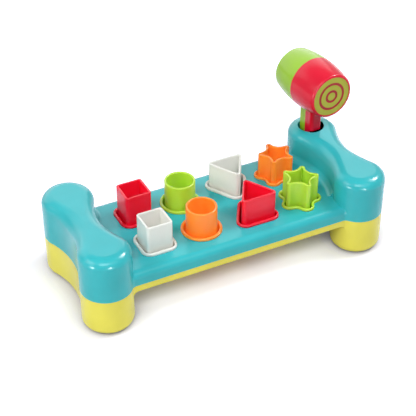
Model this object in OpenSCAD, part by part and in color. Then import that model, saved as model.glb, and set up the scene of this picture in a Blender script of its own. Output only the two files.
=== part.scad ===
// Pounding bench with a shape sorter deck: hollow pegs in four shapes stand in matching collars
// and are knocked down through the deck with a barrel hammer, kept in a socket in one end block.
// Millimetres. X runs along the bench, +Y is its back, and the feet stand on Z = 0.

/* [Bench] */
// Distance between the middles of the two end blocks
block_spacing = 303; // [297:1:330]
// Distance between the two lobe centres of an end block
lobe_spacing = 102; // [98:1:112]
// Radius of each lobe of an end block
lobe_r = 28; // [25:0.1:30]
// How far the lobes stand proud of the hollow sides that join them
lobe_proud = 0.15; // [0.1:0.05:0.5]
// Thickness of an end block at its waist
waist_t = 34; // [30:0.5:42]
// Height of the end blocks
block_h = 97.5; // [92:0.5:110]
// Rounding of the end blocks' top edge
block_round = 11; // [6:0.5:13]
// Rounding of the feet's bottom edge
foot_round = 9; // [4:0.5:12]
// Height of the parting line between shell and base
parting_z = 45.7; // [44.5:0.1:48]
// Height of the deck
deck_z = 61.2; // [58:0.1:66]
// Width of the deck from front to back
deck_w = 131.6; // [124:0.2:138]
// Rounding of the deck's long edges
deck_round = 8; // [4:0.5:10]
// Blend where the deck meets an end block
deck_blend = 9; // [5:0.5:11]
// Upright blend where a side of the deck meets a lobe
side_blend = 8; // [5:0.5:11]
// Height of the base's underside between the feet
base_z = 38.1; // [34:0.1:39]
// Blend where the underside meets a foot
foot_blend = 6; // [3:0.5:8]
// Wall thickness of the shell and the base
wall = 2.5; // [2:0.1:3]

/* [Peg places] */
// Middle of the square pegs along the bench
square_x = -85; // [-90:0.5:-82]
// Middle of the round pegs along the bench
round_x = -30.3; // [-34:0.1:-27]
// Middle of the triangle pegs along the bench
triangle_x = 32; // [30:0.5:34]
// Middle of the star pegs along the bench
star_x = 90.2; // [88:0.1:92]
// Distance of both rows from the bench's centre line
row_y = 26.7; // [25.5:0.1:30]
// Extra distance of the triangles' centres, whose flat sides face outwards
triangle_out = 2.9; // [0:0.1:4]
// Extra distance of the stars' centres
star_out = 0.5; // [0:0.1:3]

/* [Peg shapes] */
// Side of the square pegs
square_w = 29.6; // [26:0.2:31]
// Corner rounding of the square pegs
square_corner = 3.2; // [2.6:0.1:4.5]
// Diameter of the round pegs
round_d = 34; // [30:0.5:36]
// Radius of the circle through the triangle's sharp corners
triangle_r = 26.4; // [23:0.1:27.5]
// Corner rounding of the triangle pegs
triangle_corner = 3.8; // [2.8:0.1:4.5]
// Radius of the circle through the centres of the star's tips
star_r = 17.1; // [16:0.1:18]
// Rounding of the star's tips
star_tip = 3.2; // [2.6:0.1:3.5]
// Distance from the star's middle to the bottom of a notch
star_notch = 13.1; // [12:0.1:14]

/* [Pegs] */
// Length of every peg
peg_len = 58; // [52:0.5:60]
// Wall of every peg, fully rounded at the rim
peg_wall = 2.4; // [1.6:0.1:2.5]
// Floor thickness of every peg
peg_floor = 2.4; // [1.6:0.1:4]
// Rounding of a peg's lower edge
peg_edge = 1; // [0.4:0.1:1.5]
// How far the white square peg stands above the deck
square_white_up = 33.1; // [28:0.1:40]
// How far the red square peg stands above the deck
square_red_up = 36.2; // [28:0.1:40]
// How far the orange round peg stands above the deck
round_orange_up = 30.9; // [28:0.1:40]
// How far the green round peg stands above the deck
round_green_up = 30.5; // [28:0.1:40]
// How far the red triangle peg stands above the deck
triangle_red_up = 32.2; // [28:0.1:40]
// How far the white triangle peg stands above the deck
triangle_white_up = 31.5; // [28:0.1:40]
// How far the green star peg stands above the deck
star_green_up = 31.7; // [28:0.1:40]
// How far the orange star peg stands above the deck
star_orange_up = 29.8; // [28:0.1:40]

/* [Collars] */
// Open gap between a peg and the rim of its collar
collar_gap = 2; // [1.4:0.1:2.4]
// Width of the collar's rim
collar_rim = 3.5; // [3:0.1:4]
// How far a collar's corners draw back for each millimetre that its outline stands off the grip
collar_draw = 0.22; // [0.1:0.02:0.3]
// Height of the collar's rim above the deck
collar_h = 3; // [2.4:0.1:3.6]
// Wall of the collar's sleeve inside the bench
sleeve_wall = 1.6; // [1.2:0.1:2]
// Clearance of the sleeve in the hole of the deck
sleeve_clear = 0.2; // [0.1:0.05:0.4]
// Height of the lip at the sleeve's foot that grips the peg
grip_h = 5; // [3:0.5:8]
// Clearance between that lip and the peg
grip_clear = 0.35; // [0.3:0.05:0.6]

/* [Hammer] */
// Width of the handle across the head
handle_w = 15; // [14:0.2:17]
// Depth of the handle along the head
handle_d = 25; // [22:0.2:25]
// Radius of the handle's corners
handle_corner = 4.2; // [4.2:0.1:5]
// How far the corners stand proud of the handle's flats, which keeps the joins clean
handle_proud = 0.1; // [0.05:0.05:0.2]
// Rounding of the handle's lower end
handle_round = 4; // [2:0.5:4]
// Height of the head's axis with the hammer in its socket
head_z = 155; // [148:0.5:165]
// Length of the head
head_len = 74.4; // [70:0.2:84]
// Radius of the head at its middle
head_r = 30.2; // [29:0.2:32]
// Radius where the head's barrel would meet its flat ends
head_end_r = 25.8; // [25.6:0.2:27.6]
// Rounding of the head's end rims
head_round = 2.5; // [1.5:0.1:2.6]
// Turn of the head about the upright handle
head_turn = 4; // [0:1:30]
// Rounding between the handle and the head
neck_round = 6; // [3:0.5:8]
// Wall thickness of the hammer's halves
hammer_wall = 2.5; // [2:0.1:3]
// Radius of the striking pads
pad_r = 23.4; // [20:0.2:23.4]
// Thickness of the striking pads
pad_t = 3; // [2:0.1:4]
// How far the pads lie below the head's rims
pad_sink = 0.4; // [0.1:0.1:1]
// Depth of the ring grooves in the pads
groove_depth = 0.6; // [0.3:0.1:1]
// Width of the ring grooves in the pads
groove_w = 3; // [1.6:0.1:3.4]
// Middle radius of the outer ring groove
groove_outer_r = 15.3; // [13:0.1:17]
// Middle radius of the inner ring groove
groove_inner_r = 6.4; // [5:0.1:8]

/* [Hammer socket] */
// Distance of the socket from the lobe's middle, towards the deck
socket_in = 3.4; // [0:0.1:5]
// Radius of the socket
socket_r = 14.7; // [13.4:0.1:16]
// Rounding of the socket's mouth
socket_round = 2; // [1:0.1:2.4]
// Height of the socket's floor
socket_z = 22; // [16:0.5:30]
// Rest gap between the handle's end and the socket's floor
socket_gap = 0.3; // [0.2:0.05:0.5]

/* [Screws] */
// Radius of the screws' shanks
screw_r = 1.5; // [1.2:0.1:1.8]
// Radius of the screws' heads
screw_head_r = 3; // [2.6:0.1:3.2]
// Height of the screws' heads
screw_head_h = 2; // [1.6:0.1:2.4]
// How far a base screw reaches into the shell's boss
screw_bite = 9; // [6:0.5:11]
// Clearance round the shanks
screw_clear = 0.05; // [0.03:0.01:0.1]
// Clearance round the heads in their wells
well_clear = 0.5; // [0.3:0.1:0.8]
// Depth of the screw wells in the base's underside
well_depth = 4; // [3:0.1:4.4]
// Radius of the screw bosses inside the bench
boss_r = 5.2; // [5:0.1:6]
// Screw distance from the middle of the bench, for the outer screws
screw_x = 115; // [113:0.5:116]
// Place of the middle screws along the bench
screw_mid_x = 0.9; // [-1:0.1:2]
// Screw distance from the bench's centre line
screw_y = 54; // [53:0.5:56]
// Height of the hammer's lower screw with the hammer in its socket
hammer_screw_low = 44; // [38:1:60]
// Height of the hammer's upper screw with the hammer in its socket
hammer_screw_high = 110; // [104:1:116]
// Depth of the screw wells in the hammer's handle
hammer_well = 4.5; // [4:0.1:6]
// How far a hammer screw reaches past the parting face
hammer_bite = 6; // [4:0.5:7]

/* [Hidden] */
$fn = 96;

// Colours
turquoise = [0.28, 0.74, 0.77];
yellow = [0.91, 0.87, 0.36];
red = [0.88, 0.10, 0.19];
lime = [0.63, 0.81, 0.22];
orange = [0.98, 0.51, 0.17];
white = [0.88, 0.88, 0.84];
steel = [0.7, 0.7, 0.72];

// A small reach past a face that is cut
past = 1;
// How far a blend digs into the two faces that it joins
dig = 0.1;

// End block plan: two lobes joined by hollow arcs that run into them
block_x = block_spacing / 2;
lobe_y = lobe_spacing / 2;
waist = waist_t / 2;
meet_r = lobe_r - lobe_proud;
hollow_r = (waist ^ 2 + lobe_y ^ 2 - meet_r ^ 2) / (2 * (meet_r - waist));
hollow_x = waist + hollow_r;
hollow_turn = atan2(lobe_y, hollow_x);

// Plan of the deck and of the blend between its sides and the lobes
deck_y = deck_w / 2;
side_y = deck_y + side_blend - dig;
side_x = block_x - sqrt((lobe_r + side_blend - dig) ^ 2 - (side_y - lobe_y) ^ 2);

// Levels inside the bench
deck_under = deck_z - wall;
tray_floor = base_z + wall;
well_z = base_z + well_depth;
boss_z = well_z + wall;

// Offsets of a collar from the outline of its peg
sleeve_out = collar_gap + sleeve_wall;
collar_out = collar_gap + collar_rim;

// Head of the hammer: its barrel is an arc that runs into rounded rims
head_half = head_len / 2;
barrel_r = ((head_r - head_end_r) ^ 2 + head_half ^ 2) / (2 * (head_r - head_end_r));
barrel_c = head_r - barrel_r;
rim_s = head_half - head_round;
rim_r = barrel_c + sqrt((barrel_r - head_round) ^ 2 - rim_s ^ 2);
rim_turn = atan2(rim_s, rim_r - barrel_c);
pad_seat = head_half - pad_sink - pad_t;
neck_r = handle_w / 2 + neck_round;
neck_z = head_z - sqrt((head_r + neck_round - dig) ^ 2 - neck_r ^ 2);
neck_turn = atan2(head_z - neck_z, -neck_r);
handle_z = socket_z + socket_gap;
hammer_well_y = handle_d / 2 - hammer_well;
well_r = screw_head_r + well_clear;

// The part's origin is the middle of its plan box, so the head's overhang moves the bench off it
head_reach_x = head_r * cos(head_turn) + barrel_r * (1 - cos(head_turn));
head_reach_y = rim_s * cos(head_turn) + rim_r * sin(head_turn) + head_round;
bench_x = -max(0, head_reach_x - socket_in - lobe_r) / 2;
bench_y = -max(0, head_reach_y - lobe_r) / 2;

// Steps in the round stretches of outlines and profiles
corner_steps = 4;
tip_steps = 6;
rim_steps = 6;
barrel_steps = 16;

// Points on an arc, both ends included
function arc(middle, r, from, to, steps) =
    [for (i = [0:steps]) let (a = from + (to - from) * i / steps) middle + r * [cos(a), sin(a)]];

function polar(r, a) = r * [cos(a), sin(a)];

// Outlines of the front row's pegs, grown outwards by a distance: the triangle points to +Y and
// the star to -Y. Past the grip the corners draw back, so that the collars are rounder than the pegs.
function drawn(grow) = collar_draw * max(0, grow - grip_clear);

// Polygon with round corners, whose sides lie at a distance from the middle
function polygon_points(first, count, inner, corner, grow, steps) =
    let (
        half = 180 / count,
        r = corner + grow + drawn(grow) / (1 / cos(half) - 1),
        mid = (inner + grow - r) / cos(half)
    )
    [for (a = [first:2 * half:first + 359]) each arc(polar(mid, a), r, a - half, a + half, steps)];

// The star's notches are arcs that run smoothly into the tips on both sides
notch_step = 36;
function star_points(grow) =
    let (
        reach = star_r - drawn(grow),
        tip = star_tip + grow,
        low = star_notch + grow,
        notch = (reach ^ 2 + low ^ 2 - 2 * reach * low * cos(notch_step) - tip ^ 2)
            / (2 * (tip - low + reach * cos(notch_step))),
        flank = polar(low + notch, notch_step) - [reach, 0],
        turn = atan2(flank[1], flank[0]),
        half = turn - notch_step
    )
    [for (a = [270:2 * notch_step:558]) each concat(
        arc(polar(reach, a), tip, a - turn, a + turn, tip_steps),
        [for (i = [1:tip_steps - 1]) let (b = a + notch_step + 180 + half - 2 * half * i / tip_steps)
            polar(low + notch, a + notch_step) + polar(notch, b)])];

function outline(shape, grow) =
    shape == "square" ? polygon_points(45, 4, square_w / 2, square_corner, grow, corner_steps)
    : shape == "triangle" ? polygon_points(90, 3, triangle_r / 2, triangle_corner, grow, tip_steps)
    : star_points(grow);

// Distance of a shape's middle from the centre line
function shape_y(shape) = row_y + (shape == "triangle" ? triangle_out : shape == "star" ? star_out : 0);

function shape_x(shape) =
    shape == "square" ? square_x : shape == "round" ? round_x : shape == "triangle" ? triangle_x : star_x;

module on_origin() {
    translate([bench_x, bench_y, 0]) children();
}

// Puts a shape in its place: row -1 is the front, and the back row is turned to face it
module at_hole(shape, row) {
    translate([shape_x(shape), row * shape_y(shape), 0]) rotate([0, 0, row > 0 ? 180 : 0]) children();
}

module at_holes() {
    for (shape = ["square", "round", "triangle", "star"]) for (row = [-1, 1]) {
        $shape = shape;
        at_hole(shape, row) children();
    }
}

module at_base_screws() {
    for (x = [-screw_x, screw_mid_x, screw_x]) for (y = [-screw_y, screw_y])
        translate([x, y, 0]) children();
}

module both_blocks() {
    for (side = [0, 1]) mirror([side, 0, 0]) translate([block_x, 0, 0]) children();
}

// Flat shape of a hole's outline
module hole_shape(shape, grow) {
    if (shape == "round") circle(round_d / 2 + grow);
    else polygon(outline(shape, grow));
}

// Half section of a wall with its outer edges rounded
module block_section(depth, low, high, low_round, high_round) {
    difference() {
        translate([0, low]) square([depth, high - low]);
        if (high_round > 0) translate([depth - high_round, high - high_round]) difference() {
            square(high_round + past);
            circle(high_round);
        }
        if (low_round > 0) translate([depth - low_round, low + low_round]) mirror([0, 1]) difference() {
            square(low_round + past);
            circle(low_round);
        }
    }
}

// Cutter that leaves the same section along a hollow side of radius r
module hollow_cutter(r, low, high, low_round, high_round) {
    spare = max(low_round, high_round) + past;
    rotate_extrude() difference() {
        translate([0, low - past]) square([r + spare, high - low + 2 * past]);
        translate([r + 2 * spare, 0]) mirror([1, 0])
            block_section(2 * spare, low, high, low_round, high_round);
    }
}

// One end block, grown outwards by a distance
module block(grow, low, high, low_round, high_round) {
    corner = polar(lobe_r + past, hollow_turn);
    for (side = [-1, 1]) translate([0, side * lobe_y, 0])
        rotate_extrude() block_section(lobe_r + grow, low, high, low_round, high_round);
    difference() {
        translate([0, 0, low]) linear_extrude(high - low) polygon([
            [0, lobe_y], [-corner[0], lobe_y - corner[1]], [-corner[0], corner[1] - lobe_y],
            [0, -lobe_y], [corner[0], corner[1] - lobe_y], [corner[0], lobe_y - corner[1]]]);
        for (side = [-1, 1]) translate([side * hollow_x, 0, 0])
            hollow_cutter(hollow_r - grow, low, high, low_round, high_round);
    }
}

// The slab between the blocks, as a section carried along the bench
module slab(grow, low, high, high_round) {
    rotate([90, 0, 90]) translate([0, 0, -block_x]) linear_extrude(2 * block_x)
        for (side = [0, 1]) mirror([side, 0]) block_section(deck_y + grow, low, high, 0, high_round);
}

// Section of a hollow blend of radius r in the corner of two faces
module blend_section(r) {
    difference() {
        translate([-past, -past]) square(r - dig + past);
        translate([r - dig, r - dig]) circle(r);
    }
}

// Blend round the inner side of the right block, on Z = 0 and up to a distance from the middle
module block_blend(r, y_limit) {
    translate([-hollow_x, 0, 0]) rotate([0, 0, -hollow_turn]) rotate_extrude(angle = 2 * hollow_turn)
        translate([hollow_r, 0]) mirror([1, 0]) blend_section(r);
    intersection() {
        for (side = [-1, 1]) translate([0, side * lobe_y, 0])
            rotate_extrude() translate([lobe_r, 0]) blend_section(r);
        translate([-2 * lobe_r, -y_limit, -2 * past]) cube([2 * lobe_r, 2 * y_limit, r + 3 * past]);
    }
}

// Upright blends between the sides of the slab and the lobes of the right block
module side_blends(low, high, high_round) {
    for (side = [0, 1]) mirror([0, side, 0]) difference() {
        translate([0, 0, low]) linear_extrude(high - low)
            polygon([[side_x, lobe_y], [block_x, lobe_y], [side_x, side_y]]);
        translate([side_x, side_y, 0]) hollow_cutter(side_blend, low, high, 0, high_round);
    }
}

module shell_form() {
    both_blocks() {
        block(0, parting_z, block_h, 0, block_round);
        translate([0, 0, deck_z]) block_blend(deck_blend, deck_y - deck_round);
        translate([-block_x, 0, 0]) side_blends(parting_z, deck_z, deck_round);
    }
    slab(0, parting_z, deck_z, deck_round);
}

module shell_hollow() {
    both_blocks() block(-wall, parting_z - past, block_h - wall, 0, block_round - wall);
    slab(-wall, parting_z - past, deck_under, deck_round - wall);
}

module at_socket() {
    translate([block_x - socket_in, lobe_y, 0]) children();
}

// Bore of the hammer socket with its rounded mouth
module socket_bore() {
    rotate_extrude() {
        translate([0, socket_z]) square([socket_r, block_h - socket_z + past]);
        translate([socket_r - past, block_h - socket_round]) difference() {
            square([socket_round + past, socket_round + past]);
            translate([socket_round + past, dig]) circle(socket_round);
        }
    }
}

module top_shell() {
    color(turquoise) on_origin() difference() {
        union() {
            difference() {
                shell_form();
                shell_hollow();
            }
            at_base_screws() translate([0, 0, boss_z]) cylinder(r = boss_r, h = deck_under - boss_z + past);
            at_socket() translate([0, 0, socket_z - wall])
                cylinder(r = socket_r + wall, h = block_h - socket_z + wall / 2);
        }
        at_socket() socket_bore();
        at_base_screws() translate([0, 0, boss_z - past])
            cylinder(r = screw_r + screw_clear, h = screw_bite + 2 * past);
        at_holes() translate([0, 0, deck_under - past]) linear_extrude(wall + 2 * past)
            hole_shape($shape, sleeve_out + sleeve_clear);
    }
}

module tray_form() {
    both_blocks() {
        block(0, 0, parting_z, foot_round, 0);
        translate([0, 0, base_z]) mirror([0, 0, 1]) block_blend(foot_blend, deck_y);
        translate([-block_x, 0, 0]) side_blends(base_z, parting_z, 0);
    }
    slab(0, base_z, parting_z, 0);
}

module tray_hollow() {
    both_blocks() block(-wall, wall, parting_z + past, foot_round - wall, 0);
    slab(-wall, tray_floor, parting_z + past, 0);
}

module base_tray() {
    color(yellow) on_origin() difference() {
        union() {
            difference() {
                tray_form();
                tray_hollow();
            }
            at_base_screws() translate([0, 0, base_z]) cylinder(r = boss_r, h = boss_z - base_z);
        }
        at_base_screws() translate([0, 0, base_z - past]) {
            cylinder(r = well_r, h = well_depth + past);
            cylinder(r = screw_r + screw_clear, h = boss_z - base_z + 2 * past);
        }
        at_holes() translate([0, 0, base_z - past]) linear_extrude(wall + 2 * past)
            hole_shape($shape, collar_gap);
    }
}

// Skin over a list of outlines of equal length, lower outline of each pair first
function skin_faces(n, rings, closed) =
    [for (j = [0:rings - (closed ? 1 : 2)]) for (i = [0:n - 1])
        let (a = j * n + i, b = j * n + (i + 1) % n, up = ((j + 1) % rings) * n)
        each [[a, up + i, b], [b, up + i, up + (i + 1) % n]]];

function lift(points, z) = [for (p = points) [p[0], p[1], z]];

// Closed profile of [offset, height] carried round a shape's outline
module carried_ring(shape, profile) {
    rings = [for (p = profile) lift(outline(shape, p[0]), p[1])];
    polyhedron([for (r = rings) each r], skin_faces(len(rings[0]), len(rings), true));
}

// Open profile carried round a shape's outline, with its first and last outline filled in
module carried_cup(shape, profile) {
    rings = [for (p = profile) lift(outline(shape, p[0]), p[1])];
    n = len(rings[0]);
    last = (len(rings) - 1) * n;
    polyhedron([for (r = rings) each r], concat(skin_faces(n, len(rings), false),
        [[for (i = [0:n - 1]) i]], [[for (i = [n - 1:-1:0]) last + i]]));
}

// Collar: a rounded rim on the deck and a sleeve down to the tray, with a lip that grips the peg
function collar_profile() =
    let (r = collar_rim / 2, top = deck_z + collar_h, lip = tray_floor + grip_h)
    concat(
        [[grip_clear, tray_floor], [sleeve_out, tray_floor], [sleeve_out, deck_z], [collar_out, deck_z]],
        arc([collar_gap + r, top - r], r, 0, 180, 2 * corner_steps),
        [[collar_gap, lip + collar_gap - grip_clear], [grip_clear, lip]]);

module collar(shape, row) {
    on_origin() at_hole(shape, row) {
        if (shape == "round") rotate_extrude() translate([round_d / 2, 0]) polygon(collar_profile());
        else carried_ring(shape, collar_profile());
    }
}

// Peg: an open cup whose rim is fully rounded
function peg_profile() =
    let (r = peg_wall / 2)
    concat(
        [[-peg_edge, 0], [0, peg_edge]],
        arc([-r, peg_len - r], r, 0, 180, corner_steps),
        [[-peg_wall, peg_floor]]);

module peg(shape, row, up) {
    r = round_d / 2;
    on_origin() translate([0, 0, deck_z + up - peg_len]) at_hole(shape, row) {
        if (shape == "round") rotate_extrude()
            polygon(concat([[0, peg_floor], [0, 0]], [for (p = peg_profile()) p + [r, 0]]));
        else carried_cup(shape, peg_profile());
    }
}

module square_collar_white() { color(white) collar("square", -1); }
module square_collar_red() { color(red) collar("square", 1); }
module round_collar_orange() { color(orange) collar("round", -1); }
module round_collar_green() { color(lime) collar("round", 1); }
module triangle_collar_red() { color(red) collar("triangle", -1); }
module triangle_collar_white() { color(white) collar("triangle", 1); }
module star_collar_green() { color(lime) collar("star", -1); }
module star_collar_orange() { color(orange) collar("star", 1); }

module square_peg_white() { color(white) peg("square", -1, square_white_up); }
module square_peg_red() { color(red) peg("square", 1, square_red_up); }
module round_peg_orange() { color(orange) peg("round", -1, round_orange_up); }
module round_peg_green() { color(lime) peg("round", 1, round_green_up); }
module triangle_peg_red() { color(red) peg("triangle", -1, triangle_red_up); }
module triangle_peg_white() { color(white) peg("triangle", 1, triangle_white_up); }
module star_peg_green() { color(lime) peg("star", -1, star_green_up); }
module star_peg_orange() { color(orange) peg("star", 1, star_orange_up); }

// Frame of the hammer: the head lies along Y and its red end points to -Y
module in_hammer() {
    on_origin() at_socket() rotate([0, 0, head_turn]) children();
}

// Frame of the head: Z runs out through the red end
module in_head() {
    translate([0, 0, head_z]) rotate([90, 0, 0]) children();
}

// Half section of the head
function head_profile() = concat(
    [[0, -head_half]],
    arc([rim_r, -rim_s], head_round, -90, -rim_turn, rim_steps),
    arc([barrel_c, 0], barrel_r, -rim_turn, rim_turn, barrel_steps),
    arc([rim_r, rim_s], head_round, rim_turn, 90, rim_steps),
    [[0, head_half]]);

// Half section of the handle at a half width r, which spreads where it runs into the head
function handle_profile(r) = concat(
    [[0, handle_z]],
    arc([r - handle_round, handle_z + handle_round], handle_round, -90, 0, rim_steps),
    arc([r + neck_round, neck_z], neck_round, 180, neck_turn, rim_steps),
    [[0, head_z]]);

// The same section on both sides of the axis
function handle_side(r) =
    let (half = handle_profile(r))
    concat(half, [for (i = [len(half) - 2:-1:1]) [-half[i].x, half[i].y]]);

module at_handle_corners() {
    for (x = [-1, 1], y = [-1, 1])
        translate([x * (handle_w / 2 - handle_corner), y * (handle_d / 2 - handle_corner)]) children();
}

// Plan of the handle, made smaller by a wall
module handle_plan(inset) {
    square([handle_w - 2 * inset, handle_d - 2 * handle_corner], center = true);
    square([handle_w - 2 * handle_corner, handle_d - 2 * inset], center = true);
    at_handle_corners() circle(handle_corner - inset);
}

// Handle of two crossing slabs with round corners
module handle_form() {
    rotate([90, 0, 0]) linear_extrude(handle_d - 2 * handle_corner, center = true)
        polygon(handle_side(handle_w / 2));
    rotate([90, 0, 90]) linear_extrude(handle_w - 2 * handle_corner, center = true)
        polygon(handle_side(handle_d / 2));
    at_handle_corners() rotate_extrude() polygon(handle_profile(handle_corner + handle_proud));
}

// Hollow of the head, up to the walls that carry the pads
function head_hollow_profile() =
    let (s = pad_seat - hammer_wall, r = barrel_r - hammer_wall, a = asin(s / r))
    concat([[0, -s]], arc([barrel_c, 0], r, -a, a, barrel_steps), [[0, s]]);

module hammer_form() {
    in_head() rotate_extrude() polygon(head_profile());
    handle_form();
}

module hammer_hollow() {
    in_head() rotate_extrude() polygon(head_hollow_profile());
    translate([0, 0, handle_z + hammer_wall]) linear_extrude(head_z - handle_z) handle_plan(hammer_wall);
}

module at_hammer_screws() {
    for (z = [hammer_screw_low, hammer_screw_high]) translate([0, 0, z]) rotate([-90, 0, 0]) children();
}

// One half of the hammer: side -1 is the red half, side 1 the green one with the screw wells
module hammer_half(side) {
    in_hammer() difference() {
        intersection() {
            union() {
                difference() {
                    hammer_form();
                    hammer_hollow();
                }
                intersection() {
                    at_hammer_screws() cylinder(r = boss_r, h = handle_d, center = true);
                    linear_extrude(neck_z) handle_plan(hammer_wall / 2);
                }
            }
            translate([-2 * head_r, side > 0 ? 0 : -head_len, 0])
                cube([4 * head_r, head_len, head_z + 2 * head_r]);
        }
        in_head() for (end = [0, 1]) mirror([0, 0, end]) translate([0, 0, pad_seat])
            cylinder(r = pad_r, h = pad_t + pad_sink + past);
        at_hammer_screws() {
            translate([0, 0, -hammer_bite - past])
                cylinder(r = screw_r + screw_clear, h = hammer_bite + handle_d / 2 + past);
            translate([0, 0, hammer_well_y]) cylinder(r = well_r, h = hammer_well + past);
        }
    }
}

module hammer_half_red() { color(red) hammer_half(-1); }
module hammer_half_green() { color(lime) hammer_half(1); }

// Striking pad with two ring grooves in its face
module strike_pad() {
    difference() {
        translate([0, 0, pad_seat]) cylinder(r = pad_r, h = pad_t);
        translate([0, 0, pad_seat + pad_t - groove_depth]) for (r = [groove_inner_r, groove_outer_r])
            difference() {
                cylinder(r = r + groove_w / 2, h = groove_depth + past);
                translate([0, 0, -past]) cylinder(r = r - groove_w / 2, h = groove_depth + 3 * past);
            }
    }
}

module strike_pad_lime() { color(lime) in_hammer() in_head() strike_pad(); }
module strike_pad_red() { color(red) in_hammer() in_head() mirror([0, 0, 1]) strike_pad(); }

// Screw that points along +Z, with the underside of its head at Z = 0
module screw(length) {
    translate([0, 0, -screw_head_h]) cylinder(r = screw_head_r, h = screw_head_h);
    cylinder(r = screw_r, h = length);
}

module hammer_screws() {
    color(steel) in_hammer() at_hammer_screws() translate([0, 0, hammer_well_y]) mirror([0, 0, 1])
        screw(hammer_well_y + hammer_bite);
}

module base_screws() {
    color(steel) on_origin() at_base_screws() translate([0, 0, well_z]) screw(wall + screw_bite);
}

top_shell();
base_tray();
square_collar_white();
square_collar_red();
round_collar_orange();
round_collar_green();
triangle_collar_red();
triangle_collar_white();
star_collar_green();
star_collar_orange();
square_peg_white();
square_peg_red();
round_peg_orange();
round_peg_green();
triangle_peg_red();
triangle_peg_white();
star_peg_green();
star_peg_orange();
hammer_half_red();
hammer_half_green();
strike_pad_lime();
strike_pad_red();
hammer_screws();
base_screws();
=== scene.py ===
"""Looks of a toy pounding bench: moulded shell and base, hollow pegs in collars, and a hammer."""

import logging
import math
from dataclasses import dataclass, field
from enum import Enum
from typing import Callable, ClassVar, Iterable

import bmesh
import bpy
from mathutils import Matrix, Vector


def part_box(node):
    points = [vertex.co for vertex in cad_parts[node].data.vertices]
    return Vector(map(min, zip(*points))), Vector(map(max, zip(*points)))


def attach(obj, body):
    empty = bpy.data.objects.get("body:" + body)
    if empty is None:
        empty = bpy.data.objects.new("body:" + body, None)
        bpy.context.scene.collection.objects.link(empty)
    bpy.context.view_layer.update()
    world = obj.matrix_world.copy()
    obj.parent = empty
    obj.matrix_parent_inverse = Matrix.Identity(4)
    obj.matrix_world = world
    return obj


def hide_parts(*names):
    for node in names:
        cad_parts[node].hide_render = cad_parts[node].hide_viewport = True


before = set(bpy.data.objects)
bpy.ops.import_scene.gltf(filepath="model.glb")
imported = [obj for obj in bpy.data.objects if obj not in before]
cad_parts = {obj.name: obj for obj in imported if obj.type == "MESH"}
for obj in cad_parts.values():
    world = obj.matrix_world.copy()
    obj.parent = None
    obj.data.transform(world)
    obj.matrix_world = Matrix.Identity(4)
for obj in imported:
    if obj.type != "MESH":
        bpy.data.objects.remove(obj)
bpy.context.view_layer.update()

log = logging.getLogger("bench")
Colour = tuple[float, float, float]
Given = dict[str | int, object]
MM = 0.001
# Points closer than this are one point.
WELD = 0.001 * MM
# An edge is a corner where its faces turn by more radians than this.
CORNER_TURN = 1.0
# A face looks up where its normal has more than this along Z.
UPWARDS = 0.9
# Bevel profile of a round edge.
ROUND_PROFILE = 0.5


def polar(radius: float, degrees: float) -> Vector:
    """Point at a radius and an angle in the plan.

    Args:
        radius: Distance from the middle.
        degrees: Angle from +X.

    Returns:
        The point, at height zero.
    """
    angle = math.radians(degrees)
    return Vector((radius * math.cos(angle), radius * math.sin(angle), 0.0))


def is_corner(edge: bmesh.types.BMEdge) -> bool:
    """Tells an edge between two faces that turn sharply."""
    return len(edge.link_faces) == 2 and edge.calc_face_angle() > CORNER_TURN


def looks_up(face: bmesh.types.BMFace) -> bool:
    """Tells a face that looks up."""
    return face.normal.z > UPWARDS


class Kind(Enum):
    """Kinds of mesh element that are selected, with the names of their lists."""

    VERT = "verts"
    EDGE = "edges"
    FACE = "faces"


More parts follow.
